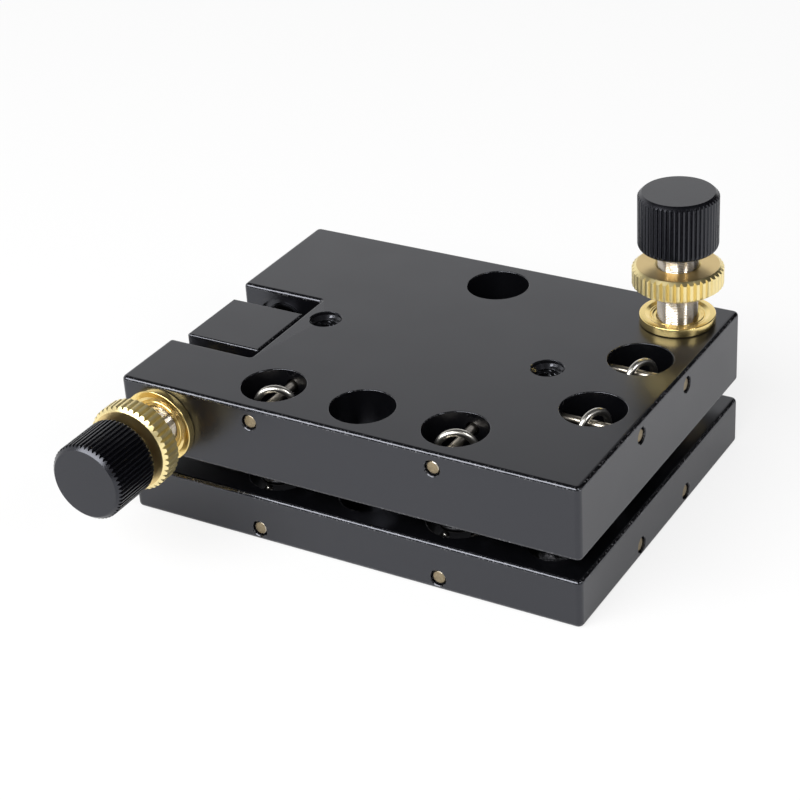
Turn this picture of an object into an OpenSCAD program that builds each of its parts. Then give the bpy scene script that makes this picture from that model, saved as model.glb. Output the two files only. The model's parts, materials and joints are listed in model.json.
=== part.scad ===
// Two-axis tilt stage: a base plate and a top plate held together by four
// extension springs, standing on three balls. A vertical screw lifts the back
// edge. A horizontal screw drives a wedge block that lifts the left side.
// Origin: centre of the base plate's underside. X right, Y back, Z up.

/* [Plates] */
// Width of both plates, left to right
stage_w = 70; // [66:0.5:90]
// Depth of both plates, front to back
stage_d = 52; // [50:0.5:70]
// Thickness of the base plate
base_t = 7.2; // [6.8:0.1:10]
// Gap between the two plates when they are parallel
plate_gap = 3; // [2.8:0.1:4]
// Thickness of the top plate
top_t = 11; // [10.6:0.1:14]
// Chamfer on the outer edges of the plates
edge_chamfer = 0.4; // [0.1:0.1:0.8]

/* [Holes in the plates] */
// Break on the edges of the plain holes
hole_break = 0.15; // [0.05:0.05:0.2]
// Diameter of the four spring holes
spring_hole_d = 9; // [8:0.1:9.6]
// Front spring holes, from the front face to their centres
front_hole_inset = 6.6; // [5.4:0.1:7.4]
// Front spring holes, from one to the other
front_hole_spacing = 28.1; // [22:0.1:32]
// Right-hand spring holes, from the right face to their centres
side_hole_inset = 6.9; // [5.4:0.1:7.4]
// Right-hand spring holes, from one to the other
side_hole_spacing = 14.8; // [11:0.1:16]
// Diameter of the two access holes over the base screws
access_d = 9; // [8:0.1:9.6]
// Access holes, from the front and back faces to their centres
access_inset = 6.6; // [5.4:0.1:7.4]
// Clearance hole of the base screws
base_screw_d = 4.5; // [3.4:0.1:5]
// Counterbore of the base screws
base_bore_d = 8; // [7:0.1:8.6]
// Depth of that counterbore
base_bore_depth = 4.4; // [3:0.1:5]
// Core diameter of the two tapped holes
tap_d = 3.3; // [2.5:0.1:4.2]
// Diameter of their countersinks
tap_sink_d = 4.6; // [4.3:0.1:5.2]
// Tapped holes, from one to the other
tap_spacing = 35.4; // [28:0.1:36]

/* [Slot and wedge block] */
// Depth of the slot from the left face
slot_depth = 13.55; // [13:0.05:14]
// Wall in front of the slot, which carries the horizontal adjuster
slot_front_wall = 12.2; // [11.5:0.1:13.5]
// Width of the slot, front to back
slot_w = 18.6; // [18:0.1:20]
// Length and width of the wedge block
block_size = 12; // [11.4:0.1:12.4]
// Gap from the slot's front wall to the block
block_front_gap = 1.9; // [1.6:0.1:2.4]
// Gap from the slot's end wall to the block
block_side_gap = 0.1; // [0.05:0.05:0.4]
// Slope of the block's ramp
ramp_angle = 45; // [40:1:48]
// Diameter of the block's guide pin
guide_d = 6.6; // [5:0.1:7]
// Diameter of the counterbore round the guide pin's hole
guide_sink_d = 8.7; // [7.4:0.1:8.8]

/* [Adjusters] */
// Diameter of both adjuster screws
screw_d = 5.7; // [5:0.1:6]
// Pitch of their thread
screw_pitch = 0.25; // [0.25:0.05:0.5]
// Running clearance of the screws, on the radius
screw_clear = 0.05; // [0.03:0.01:0.08]
// Vertical adjuster, from the right face to its axis
vertical_side_inset = 6.8; // [6:0.1:8]
// Vertical adjuster and pivot, from the back or front face to their axes
vertical_back_inset = 6.3; // [6:0.1:8]
// Horizontal adjuster, from the left face to its axis
horizontal_side_inset = 6.4; // [6:0.1:7.4]
// Horizontal adjuster, from the top face down to its axis
horizontal_drop = 5.8; // [5.5:0.1:6]
// Diameter of the bush's flange
flange_d = 10.7; // [10:0.1:11.4]
// Height of the bush's flange
flange_h = 1.33; // [1:0.01:1.6]
// Diameter of the bush's body inside the plate
bush_d = 8.6; // [7.6:0.1:8.8]
// Diameter of the lock nuts
nut_d = 12.74; // [11.6:0.02:13.6]
// Thickness of the lock nuts
nut_t = 3.24; // [2.4:0.02:3.6]
// Number of teeth round a lock nut
nut_teeth = 56; // [36:1:72]
// Depth of the lock nut's teeth
nut_tooth_depth = 0.36; // [0.1:0.02:0.5]
// Diameter of the knobs
knob_d = 11.2; // [10:0.1:13]
// Length of the knobs
knob_len = 8.4; // [7:0.1:10]
// Number of flutes round a knob
knob_flutes = 54; // [36:1:72]
// Depth of the knob's flutes
knob_flute_depth = 0.28; // [0.1:0.02:0.5]
// Vertical adjuster: from the plate to the lock nut
vertical_nut_h = 5.67; // [5:0.01:7]
// Vertical adjuster: from the lock nut to the knob
vertical_knob_gap = 2.5; // [2.4:0.05:4]
// Horizontal adjuster: from the plate to the lock nut
horizontal_nut_h = 4.88; // [4.5:0.01:7]
// Horizontal adjuster: from the lock nut to the knob
horizontal_knob_gap = 1.21; // [1.2:0.01:3]

/* [Balls, seats and pads] */
// Diameter of the pivot ball
pivot_ball_d = 5; // [4.4:0.1:5.4]
// Diameter of the ball tips of both screws
tip_ball_d = 4.5; // [4:0.1:4.6]
// Diameter of the ball-ended post
post_d = 5; // [4:0.1:5.2]
// Depth of the post's hole in the base plate
post_depth = 5; // [4:0.1:6]
// Thickness of the hardened pads and of the base seat
pad_t = 2; // [1.2:0.1:2.2]
// Running gap between a ball and what it stands on
ball_gap = 0.1; // [0.05:0.01:0.15]

/* [Springs and cross pins] */
// Diameter of the cross pins
pin_d = 1.92; // [1.5:0.02:2]
// Top plate's pins, from the top face down to their axes
top_pin_drop = 2.4; // [2.2:0.05:3.4]
// Base plate's pins, from the underside up to their axes
base_pin_rise = 1.8; // [1.8:0.05:2.6]
// How far the pins lie inside the plate's face
pin_recess = 0.15; // [0:0.05:0.5]
// Depth of the pin's hole beyond the spring hole
pin_seat = 2.5; // [1.5:0.1:2.6]
// Outer diameter of the springs
spring_d = 5.6; // [5:0.1:6.4]
// Diameter of the spring wire
wire_d = 0.95; // [0.6:0.05:1]
// Rise of the spring's coil in one turn
coil_pitch = 1.22; // [1.18:0.02:1.6]

/* [Hidden] */
$fn = 64;
// One overrun for all cuts
over = 1;
// Play of a piece that is pressed into its seat, on the radius
seat_play = 0.01;

// Heights
top_z0 = base_t + plate_gap;
top_z1 = top_z0 + top_t;
// Height of the three ball centres: this share of the gap above the base plate
ball_height_share = 0.6;
ball_z = base_t + ball_height_share * plate_gap;
horizontal_z = top_z1 - horizontal_drop;

// Faces of the plates
left_x = -stage_w / 2;
right_x = stage_w / 2;
front_y = -stage_d / 2;
back_y = stage_d / 2;

// Places of the holes
front_hole_y = front_y + front_hole_inset;
front_hole_xs = [-front_hole_spacing / 2, front_hole_spacing / 2];
side_hole_x = right_x - side_hole_inset;
side_hole_ys = [-side_hole_spacing / 2, side_hole_spacing / 2];
access_ys = [front_y + access_inset, back_y - access_inset];
tap_xs = [-tap_spacing / 2, tap_spacing / 2];

// Places of the adjusters, the pivot and the post
vertical_x = right_x - vertical_side_inset;
vertical_y = back_y - vertical_back_inset;
pivot_y = front_y + vertical_back_inset;
horizontal_x = left_x + horizontal_side_inset;
slot_x1 = left_x + slot_depth;
slot_y0 = front_y + slot_front_wall;
slot_y1 = slot_y0 + slot_w;
block_x1 = slot_x1 - block_side_gap;
block_x0 = block_x1 - block_size;
block_y0 = slot_y0 + block_front_gap;
block_y1 = block_y0 + block_size;
// The post stands this far in front of the block's middle
post_y_shift = 0.1;
post_y = block_y0 + block_size / 2 - post_y_shift;

// Ramp and notch under the block
post_r = post_d / 2;
// Line of the ramp: height where it is straight above the post's ball centre
ramp_z = ball_z + (post_r + ball_gap) / cos(ramp_angle);
// How far the ramp reaches below the ball's touching point
ramp_reach = 1.45;
ramp_low_z = ball_z + post_r * cos(ramp_angle) - ramp_reach;
// Height of the notch's ceiling over the ball centre, and the play behind the ball
notch_rise = 4.3;
notch_play = 0.3;
// How many turns of the screw the block can come forward from rest
block_turns = 5;
block_travel = block_turns * screw_pitch;
notch_back = (post_r + notch_play) * sqrt(2) + 2 * block_travel;
// Height of the block's back part over the top plate's underside
block_lift = 0.2;

// Pads and seats
// Pads and seats are this much wider than the balls on them
pad_rim = 2;
pad_d = tip_ball_d + pad_rim;
seat_d = pivot_ball_d + pad_rim;
// Half angle of the seats' cones
seat_angle = 60;
seat_r = pivot_ball_d / 2 + ball_gap;
// The base seat is this much thicker than the pads
seat_extra = 0.4;
base_seat_t = pad_t + seat_extra;
// Thickness of the seat in the top plate
top_seat_t = 3.2;
vertical_pad_z = ball_z - tip_ball_d / 2 - ball_gap;
wedge_pad_d = 4.6;
wedge_pad_t = 1.5;

// Adjuster, along its own axis, with zero at the plate's face
thread_r = screw_d / 2 + screw_clear;
// The bushes end this far inside the plate
bush_recess = 0.4;
vertical_bush_len = top_t - bush_recess;
horizontal_bush_len = slot_front_wall - bush_recess;
vertical_tip_h = ball_z - top_z1;
horizontal_tip_h = front_y - block_y0 + tip_ball_d / 2 + ball_gap;
vertical_knob_h = vertical_nut_h + nut_t + vertical_knob_gap;
horizontal_knob_h = horizontal_nut_h + nut_t + horizontal_knob_gap;
// The screw ends this far behind the centre of its ball tip
cup_setback = 0.5;
cup_play = 0.03;
// The screw's upper end, turned down to fit in the knob
spigot_d = 4;
spigot_len = 5.5;
// Bush: rim of the flange, floor of its dish and the step round the screw
rim_w = 0.85;
dish_depth = 0.25;
dish_step_w = 0.5;
dish_step_h = 0.2;
bush_break = 0.15;
// Lock nut and knob
nut_chamfer = 0.5;
nut_mouth = 0.3;
knob_bevel_w = 0.6;
knob_bevel_h = 0.42;
knob_round = 0.9;
// Across one tooth: place along the tooth, and depth
nut_tooth_shares = [[0, 0], [0.46, 0], [0.63, 1], [0.83, 1]];
knob_flute_shares = [[0, 0], [0.3, 0], [0.55, 0.85], [0.65, 1], [0.75, 0.85]];

// Guide pin
guide_seat = 1.8;
guide_len = 9.7;
guide_hole_len = 9;
guide_clear = 0.05;
guide_sink_depth = 1;
guide_chamfer = 0.3;

// Cross pins
pin_mouth_d = 2.35;
pin_mouth_depth = 0.2;
pin_round = 0.2;
pin_play = 0.02;
top_pin_z = top_z1 - top_pin_drop;
base_pin_z = base_pin_rise;
front_pin_depth = front_hole_inset + spring_hole_d / 2 + pin_seat;
side_pin_depth = side_hole_inset + spring_hole_d / 2 + pin_seat;
// Room left beyond the pin's inner end
pin_end_play = 0.1;

// Spring
coil_r = (spring_d - wire_d) / 2;
hook_play = 0.06;
spring_mid_z = (top_pin_z + base_pin_z) / 2;
// Centre of the upper hook, counted from the spring's middle
hook_z = top_pin_z + pin_d / 2 + hook_play + wire_d / 2 - coil_r - spring_mid_z;
// Room between the coil and the hook's centre
hook_room = 3.1;
coil_h = 2 * (hook_z - hook_room);
coil_turns = max(3, floor(coil_h / coil_pitch));
coil_rings = 8;
coil_sides = 6;
hook_rings = 14;
hook_sweep = 225;
bend_rings = 5;
bend_angle = 50;
bend_rise = 1.6;
coil_end_z = coil_h / 2 * (1 - 2 * bend_angle / 360 / coil_turns);

// Colours
anodised = [0.11, 0.11, 0.12];
anodised_light = [0.16, 0.16, 0.17];
knob_black = [0.07, 0.07, 0.08];
brass = [0.83, 0.66, 0.33];
steel = [0.72, 0.72, 0.70];
pin_steel = [0.60, 0.56, 0.48];
spring_steel = [0.76, 0.75, 0.72];

// Rectangle with chamfered corners
module chamfered(w, h, c) {
    polygon([[-w / 2 + c, -h / 2], [w / 2 - c, -h / 2], [w / 2, -h / 2 + c], [w / 2, h / 2 - c],
        [w / 2 - c, h / 2], [-w / 2 + c, h / 2], [-w / 2, h / 2 - c], [-w / 2, -h / 2 + c]]);
}

// Plate with chamfers on all its outer edges, standing on z = 0
module plate(t) {
    translate([0, 0, t / 2]) intersection() {
        linear_extrude(t, center = true) chamfered(stage_w, stage_d, edge_chamfer);
        rotate([90, 0, 0]) linear_extrude(stage_d, center = true)
            chamfered(stage_w, t, edge_chamfer);
        rotate([90, 0, 90]) linear_extrude(stage_w, center = true)
            chamfered(stage_d, t, edge_chamfer);
    }
}

// Through hole with broken edges, from z = 0 to z = t
module plain_hole(d, t) {
    translate([0, 0, -over]) cylinder(d = d, h = t + 2 * over);
    translate([0, 0, -over]) cylinder(d1 = d + 2 * (hole_break + over), d2 = d, h = hole_break + over);
    translate([0, 0, t - hole_break])
        cylinder(d1 = d, d2 = d + 2 * (hole_break + over), h = hole_break + over);
}

// The four spring holes of a plate
module spring_holes(t) {
    for (x = front_hole_xs) translate([x, front_hole_y, 0]) plain_hole(spring_hole_d, t);
    for (y = side_hole_ys) translate([side_hole_x, y, 0]) plain_hole(spring_hole_d, t);
}

// Hole for a cross pin, entering along +Z at z = 0
module pin_hole(depth) {
    translate([0, 0, -over]) cylinder(d = pin_d + 2 * pin_play, h = depth + over);
    translate([0, 0, -over]) cylinder(d = pin_mouth_d, h = pin_mouth_depth + over);
}

// The four pin holes of a plate, at height z
module pin_holes(z) {
    for (x = front_hole_xs) translate([x, front_y, z]) rotate([-90, 0, 0]) pin_hole(front_pin_depth);
    for (y = side_hole_ys) translate([right_x, y, z]) rotate([0, -90, 0]) pin_hole(side_pin_depth);
}

module base_plate() {
    color(anodised) difference() {
        plate(base_t);
        spring_holes(base_t);
        pin_holes(base_pin_z);
        for (y = access_ys) translate([0, y, 0]) {
            translate([0, 0, -over]) cylinder(d = base_screw_d, h = base_t + 2 * over);
            translate([0, 0, base_t - base_bore_depth])
                cylinder(d = base_bore_d, h = base_bore_depth + over);
        }
        translate([vertical_x, pivot_y, base_t - base_seat_t])
            cylinder(d = seat_d + 2 * seat_play, h = base_seat_t + over);
        translate([vertical_x, vertical_y, vertical_pad_z - pad_t])
            cylinder(d = pad_d + 2 * seat_play, h = base_t - vertical_pad_z + pad_t + over);
        translate([horizontal_x, post_y, base_t - post_depth])
            cylinder(d = post_d + 2 * seat_play, h = post_depth + over);
    }
}

module top_plate() {
    color(anodised) difference() {
        translate([0, 0, top_z0]) plate(top_t);
        translate([0, 0, top_z0]) spring_holes(top_t);
        pin_holes(top_pin_z);
        for (y = access_ys) translate([0, y, top_z0]) plain_hole(access_d, top_t);
        for (x = tap_xs) translate([x, 0, top_z0]) {
            translate([0, 0, -over]) cylinder(d = tap_d, h = top_t + 2 * over);
            translate([0, 0, top_t - (tap_sink_d - tap_d) / 2])
                cylinder(d1 = tap_d, d2 = tap_sink_d + 2 * over, h = (tap_sink_d - tap_d) / 2 + over);
        }
        translate([left_x - over, slot_y0, top_z0 - over])
            cube([slot_depth + over, slot_w, top_t + 2 * over]);
        translate([vertical_x, vertical_y, top_z0 - over])
            cylinder(d = bush_d + 2 * seat_play, h = top_t + 2 * over);
        translate([horizontal_x, front_y - over, horizontal_z]) rotate([-90, 0, 0])
            cylinder(d = bush_d + 2 * seat_play, h = slot_front_wall + 2 * over);
        translate([horizontal_x, slot_y1 - over, horizontal_z]) rotate([-90, 0, 0]) {
            cylinder(d = guide_d + 2 * guide_clear, h = guide_hole_len + over);
            cylinder(d = guide_sink_d, h = guide_sink_depth + over);
        }
        translate([vertical_x, pivot_y, top_z0 - over])
            cylinder(d = seat_d + 2 * seat_play, h = top_seat_t + over);
    }
}

// Side view of the wedge block: y runs along the screw, z up
module block_side() {
    ramp_y0 = post_y + ramp_low_z - ramp_z;
    ceiling_z = ball_z + notch_rise;
    ramp_y1 = post_y + ceiling_z - ramp_z;
    back_sum = post_y + ball_z + notch_back;
    polygon([[block_y0, ramp_low_z], [ramp_y0, ramp_low_z], [ramp_y1, ceiling_z],
        [back_sum - ceiling_z, ceiling_z], [back_sum - top_z0 - block_lift, top_z0 + block_lift],
        [block_y1, top_z0 + block_lift], [block_y1, top_z1], [block_y0, top_z1]]);
}

module wedge_block() {
    color(anodised_light) difference() {
        translate([block_x0, 0, 0]) rotate([90, 0, 90]) linear_extrude(block_size) block_side();
        translate([horizontal_x, block_y0, horizontal_z]) rotate([-90, 0, 0]) translate([0, 0, -over])
            cylinder(d = wedge_pad_d + 2 * seat_play, h = wedge_pad_t + over);
        translate([horizontal_x, block_y1 - guide_seat, horizontal_z]) rotate([-90, 0, 0])
            cylinder(d = guide_d + 2 * seat_play, h = guide_seat + over);
    }
}

module guide_pin() {
    r = guide_d / 2;
    color(steel) translate([horizontal_x, block_y1 - guide_seat, horizontal_z]) rotate([-90, 0, 0])
        rotate_extrude() polygon([[0, 0], [r, 0], [r, guide_len - guide_chamfer],
            [r - guide_chamfer, guide_len], [0, guide_len]]);
}

module wedge_post() {
    color(steel) translate([horizontal_x, post_y, 0]) {
        translate([0, 0, base_t - post_depth]) cylinder(d = post_d, h = post_depth + ball_z - base_t);
        translate([0, 0, ball_z]) sphere(d = post_d);
    }
}

module pivot_ball() {
    color(steel) translate([vertical_x, pivot_y, ball_z]) sphere(d = pivot_ball_d);
}

// Cone that the pivot ball sits in, opening upwards from its tip
module seat_cone() {
    tip_drop = seat_r / sin(seat_angle);
    translate([0, 0, -tip_drop]) cylinder(r1 = 0, r2 = tip_drop * tan(seat_angle), h = tip_drop);
}

module base_pivot_seat() {
    color(steel) translate([vertical_x, pivot_y, 0]) difference() {
        translate([0, 0, base_t - base_seat_t]) cylinder(d = seat_d, h = base_seat_t);
        translate([0, 0, ball_z]) seat_cone();
    }
}

module top_pivot_seat() {
    color(steel) translate([vertical_x, pivot_y, 0]) difference() {
        translate([0, 0, top_z0]) cylinder(d = seat_d, h = top_seat_t);
        translate([0, 0, ball_z]) mirror([0, 0, 1]) seat_cone();
    }
}

module vertical_pad() {
    color(steel) translate([vertical_x, vertical_y, vertical_pad_z - pad_t])
        cylinder(d = pad_d, h = pad_t);
}

module wedge_pad() {
    color(steel) translate([horizontal_x, block_y0, horizontal_z]) rotate([-90, 0, 0])
        cylinder(d = wedge_pad_d, h = wedge_pad_t);
}

// Puts a piece drawn along +Z from the plate's face on the vertical adjuster's axis
module on_vertical() {
    translate([vertical_x, vertical_y, top_z1]) children();
}

// The same for the horizontal adjuster, whose axis leaves the front face
module on_horizontal() {
    translate([horizontal_x, front_y, horizontal_z]) rotate([90, 0, 0]) children();
}

// Flanged bush with a dished face: a turned piece
module bush(len) {
    rim_r = flange_d / 2 - rim_w;
    step_r = rim_r - dish_step_w;
    dish_h = flange_h - dish_depth;
    rotate_extrude() polygon([[thread_r, -len], [bush_d / 2, -len], [bush_d / 2, 0],
        [flange_d / 2 - bush_break, 0], [flange_d / 2, bush_break],
        [flange_d / 2, flange_h - bush_break], [flange_d / 2 - bush_break, flange_h],
        [rim_r, flange_h], [step_r, dish_h], [step_r - dish_step_w / 2, dish_h],
        [step_r - dish_step_w, dish_h - dish_step_h], [thread_r, dish_h - dish_step_h]]);
}

// Adjuster screw: cup for the ball tip at the lower end, spigot in the knob
module adjuster_screw(tip_h, knob_h) {
    foot_h = tip_h + cup_setback;
    head_h = knob_h + spigot_len;
    difference() {
        rotate_extrude() polygon([[0, foot_h], [screw_d / 2, foot_h], [screw_d / 2, knob_h],
            [spigot_d / 2, knob_h], [spigot_d / 2, head_h], [0, head_h]]);
        translate([0, 0, tip_h]) sphere(d = tip_ball_d + 2 * cup_play);
    }
}

// Outline with n equal teeth, each following the shares of one tooth
function toothed(n, r, depth, tooth_shares) = [for (i = [0 : n - 1]) for (s = tooth_shares)
    let (a = 360 * (i + s[0]) / n, q = r - depth * s[1]) [q * cos(a), q * sin(a)]];

// Knurled lock nut, chamfered on both faces
module lock_nut(h) {
    r = nut_d / 2;
    translate([0, 0, h]) intersection() {
        linear_extrude(nut_t) difference() {
            polygon(toothed(nut_teeth, r, nut_tooth_depth, nut_tooth_shares));
            circle(r = thread_r);
        }
        rotate_extrude() polygon([[thread_r + nut_mouth, 0], [r - nut_chamfer, 0], [r, nut_chamfer],
            [r, nut_t - nut_chamfer], [r - nut_chamfer, nut_t], [thread_r + nut_mouth, nut_t],
            [thread_r, nut_t - nut_mouth], [thread_r, nut_mouth]]);
    }
}

// Fluted knob: rounded inner end, bevelled outer end, blind bore for the screw
module knob(h) {
    r = knob_d / 2;
    translate([0, 0, h]) difference() {
        intersection() {
            linear_extrude(knob_len)
                polygon(toothed(knob_flutes, r, knob_flute_depth, knob_flute_shares));
            union() {
                rotate_extrude() translate([r - knob_round, knob_round]) circle(r = knob_round);
                cylinder(r = r - knob_round, h = 2 * knob_round);
                rotate_extrude() polygon([[0, knob_round], [r, knob_round],
                    [r, knob_len - knob_bevel_h], [r - knob_bevel_w, knob_len], [0, knob_len]]);
            }
        }
        translate([0, 0, -over]) cylinder(d = spigot_d + 2 * seat_play, h = spigot_len + over);
    }
}

module vertical_bush() { color(brass) on_vertical() bush(vertical_bush_len); }
module horizontal_bush() { color(brass) on_horizontal() bush(horizontal_bush_len); }
module vertical_screw() {
    color(steel) on_vertical() adjuster_screw(vertical_tip_h, vertical_knob_h);
}
module horizontal_screw() {
    color(steel) on_horizontal() adjuster_screw(horizontal_tip_h, horizontal_knob_h);
}
module vertical_tip_ball() {
    color(steel) on_vertical() translate([0, 0, vertical_tip_h]) sphere(d = tip_ball_d);
}
module horizontal_tip_ball() {
    color(steel) on_horizontal() translate([0, 0, horizontal_tip_h]) sphere(d = tip_ball_d);
}
module vertical_lock_nut() { color(brass) on_vertical() lock_nut(vertical_nut_h); }
module horizontal_lock_nut() { color(brass) on_horizontal() lock_nut(horizontal_nut_h); }
module vertical_knob() { color(knob_black) on_vertical() knob(vertical_knob_h); }
module horizontal_knob() { color(knob_black) on_horizontal() knob(horizontal_knob_h); }

// Cross pin with chamfered ends, for a hole of the given depth
module cross_pin(depth) {
    r = pin_d / 2;
    len = depth - pin_recess - pin_end_play;
    color(pin_steel) translate([0, 0, pin_recess]) rotate_extrude()
        polygon([[0, 0], [r - pin_round, 0], [r, pin_round], [r, len - pin_round],
            [r - pin_round, len], [0, len]]);
}

module front_pin(x, z) {
    translate([x, front_y, z]) rotate([-90, 0, 0]) cross_pin(front_pin_depth);
}
module side_pin(y, z) {
    translate([right_x, y, z]) rotate([0, -90, 0]) cross_pin(side_pin_depth);
}

// Centre line of a spring, with its hooks in the XZ plane and its middle at z = 0.
// The upper end is the coil's last turn, bent up the side and over in a hook.
function flipped(p) = [p[0], -p[1], -p[2]];
upper_bend = [for (i = [1 : bend_rings])
    let (s = i / bend_rings, a = -bend_angle * (1 - s) * (1 - s))
    [coil_r * cos(a), coil_r * sin(a), coil_end_z + bend_rise * s * s]];
upper_hook = [for (i = [0 : hook_rings]) let (a = hook_sweep * i / hook_rings)
    [coil_r * cos(a), 0, hook_z + coil_r * sin(a)]];
upper_end = concat(upper_bend, upper_hook);
lower_end = [for (i = [len(upper_end) - 1 : -1 : 0]) flipped(upper_end[i])];
coil_steps = coil_turns * coil_rings;
coil_sweep = 360 * coil_turns - 2 * bend_angle;
coil_points = [for (i = [0 : coil_steps])
    let (a = bend_angle + coil_sweep * i / coil_steps)
    [coil_r * cos(a), coil_r * sin(a), coil_end_z * (2 * i / coil_steps - 1)]];
spring_path = concat(lower_end, coil_points, upper_end);

// Frames that turn as little as they can along the path
function unit(v) = v / norm(v);
function tangent(p, i) = unit(p[min(i + 1, len(p) - 1)] - p[max(i - 1, 0)]);
function normals(p, i, n, made) = i >= len(p) ? made :
    let (t = tangent(p, i), m = unit(n - (n * t) * t)) normals(p, i + 1, m, concat(made, [m]));

// Closed tube with the given number of sides along a path
module tube(p, r, sides, start_normal) {
    frames = normals(p, 0, start_normal, []);
    points = [for (i = [0 : len(p) - 1]) let (t = tangent(p, i), n = frames[i], b = cross(t, n))
        for (k = [0 : sides - 1]) let (a = 360 * k / sides) p[i] + r * (cos(a) * n + sin(a) * b)];
    walls = [for (i = [0 : len(p) - 2]) for (k = [0 : sides - 1])
        let (a = i * sides + k, b = i * sides + (k + 1) % sides)
        each [[a, b + sides, b], [a, a + sides, b + sides]]];
    last = (len(p) - 1) * sides;
    caps = [for (k = [1 : sides - 2]) each [[0, k, k + 1], [last, last + k + 1, last + k]]];
    polyhedron(points, concat(walls, caps));
}

// Least distance between stretches of wire that are not neighbours
far_apart = 6;
last_ring = len(spring_path) - 1;
spring_gap = min([for (i = [0 : last_ring - far_apart]) for (j = [i + far_apart : last_ring])
    norm(spring_path[i] - spring_path[j])]) - wire_d;
echo(spring_gap = spring_gap, coil_turns = coil_turns);

module spring() {
    color(spring_steel) tube(spring_path, wire_d / 2, coil_sides, [0, 1, 0]);
}
module front_spring(x) { translate([x, front_hole_y, spring_mid_z]) spring(); }
module side_spring(y) { translate([side_hole_x, y, spring_mid_z]) rotate([0, 0, 90]) spring(); }

module top_pin_front_left() { front_pin(front_hole_xs[0], top_pin_z); }
module top_pin_front_right() { front_pin(front_hole_xs[1], top_pin_z); }
module top_pin_side_front() { side_pin(side_hole_ys[0], top_pin_z); }
module top_pin_side_back() { side_pin(side_hole_ys[1], top_pin_z); }
module base_pin_front_left() { front_pin(front_hole_xs[0], base_pin_z); }
module base_pin_front_right() { front_pin(front_hole_xs[1], base_pin_z); }
module base_pin_side_front() { side_pin(side_hole_ys[0], base_pin_z); }
module base_pin_side_back() { side_pin(side_hole_ys[1], base_pin_z); }
module spring_front_left() { front_spring(front_hole_xs[0]); }
module spring_front_right() { front_spring(front_hole_xs[1]); }
module spring_side_front() { side_spring(side_hole_ys[0]); }
module spring_side_back() { side_spring(side_hole_ys[1]); }

base_plate();
top_plate();
wedge_block();
guide_pin();
wedge_post();
pivot_ball();
base_pivot_seat();
top_pivot_seat();
vertical_pad();
wedge_pad();
vertical_bush();
horizontal_bush();
vertical_screw();
horizontal_screw();
vertical_tip_ball();
horizontal_tip_ball();
vertical_lock_nut();
horizontal_lock_nut();
vertical_knob();
horizontal_knob();
top_pin_front_left();
top_pin_front_right();
top_pin_side_front();
top_pin_side_back();
base_pin_front_left();
base_pin_front_right();
base_pin_side_front();
base_pin_side_back();
spring_front_left();
spring_front_right();
spring_side_front();
spring_side_back();
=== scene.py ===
# %% [markdown]
# # A two-axis tilt stage
# The real object is a small bench instrument: two black anodised plates, held together by springs, with
# two brass-bushed adjuster screws that tilt the upper one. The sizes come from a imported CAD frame.
# This notebook gives the pieces their rounded edges, threads, knurls and finishes.

# %% Load the frame
import json
import math

import bmesh
import bpy
from mathutils import Matrix, Quaternion, Vector


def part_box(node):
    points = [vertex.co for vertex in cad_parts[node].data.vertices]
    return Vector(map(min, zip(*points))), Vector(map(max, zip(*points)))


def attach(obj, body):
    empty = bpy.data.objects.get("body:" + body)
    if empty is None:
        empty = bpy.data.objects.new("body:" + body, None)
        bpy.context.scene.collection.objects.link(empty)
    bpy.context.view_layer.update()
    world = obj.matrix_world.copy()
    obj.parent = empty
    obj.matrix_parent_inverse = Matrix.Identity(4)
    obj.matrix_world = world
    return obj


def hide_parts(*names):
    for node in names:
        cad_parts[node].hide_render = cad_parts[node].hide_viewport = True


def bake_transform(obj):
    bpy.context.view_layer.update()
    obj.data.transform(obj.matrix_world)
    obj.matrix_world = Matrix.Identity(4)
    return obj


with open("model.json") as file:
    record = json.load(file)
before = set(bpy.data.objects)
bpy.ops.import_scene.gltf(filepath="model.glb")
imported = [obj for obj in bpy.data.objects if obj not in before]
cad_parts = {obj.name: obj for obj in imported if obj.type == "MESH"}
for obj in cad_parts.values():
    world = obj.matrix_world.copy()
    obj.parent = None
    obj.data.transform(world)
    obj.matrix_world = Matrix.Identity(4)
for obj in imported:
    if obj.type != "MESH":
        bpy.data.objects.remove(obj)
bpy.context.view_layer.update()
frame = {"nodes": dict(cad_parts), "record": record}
record = frame["record"]
MM = 0.001

# %% [markdown]
# ## Sizes from the frame
# Every place in this notebook starts from the box of a CAD node, so the dressed pieces stay where the
# CAD has them. Working in millimetres keeps the numbers readable. Points become metres only when a mesh
# is made.


# %% Read boxes in millimetres
def box_of(node):
    low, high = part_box(node)
    return low / MM, high / MM


def middle_of(node):
    low, high = box_of(node)
    return (low + high) / 2


BODY_OF = {node: body for body, nodes in record["behaviour"]["bodies"].items() for node in nodes}
MOUNTS = {mount["name"]: mount for mount in record["mounts"]}
TOP_LOW, TOP_HIGH = box_of("top_plate")
BASE_LOW, BASE_HIGH = box_of("base_plate")
print("top plate:", [round(v, 2) for v in TOP_HIGH - TOP_LOW], "mm")

# %% [markdown]
# ## Camera
# A product photographer would stand well back with a long lens, so that parallel edges stay nearly
# parallel. The camera is placed by the point where it stands, the point it looks at and a small roll,
# because the photograph was not quite level.

# %% Place the camera
CAMERA_AT = Vector((134.54, -227.72, 163.17))
CAMERA_AIM = Vector((3.71, -15.85, 21.2))
CAMERA_ROLL = -3.70
CAMERA_LENS = 96.9

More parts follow.
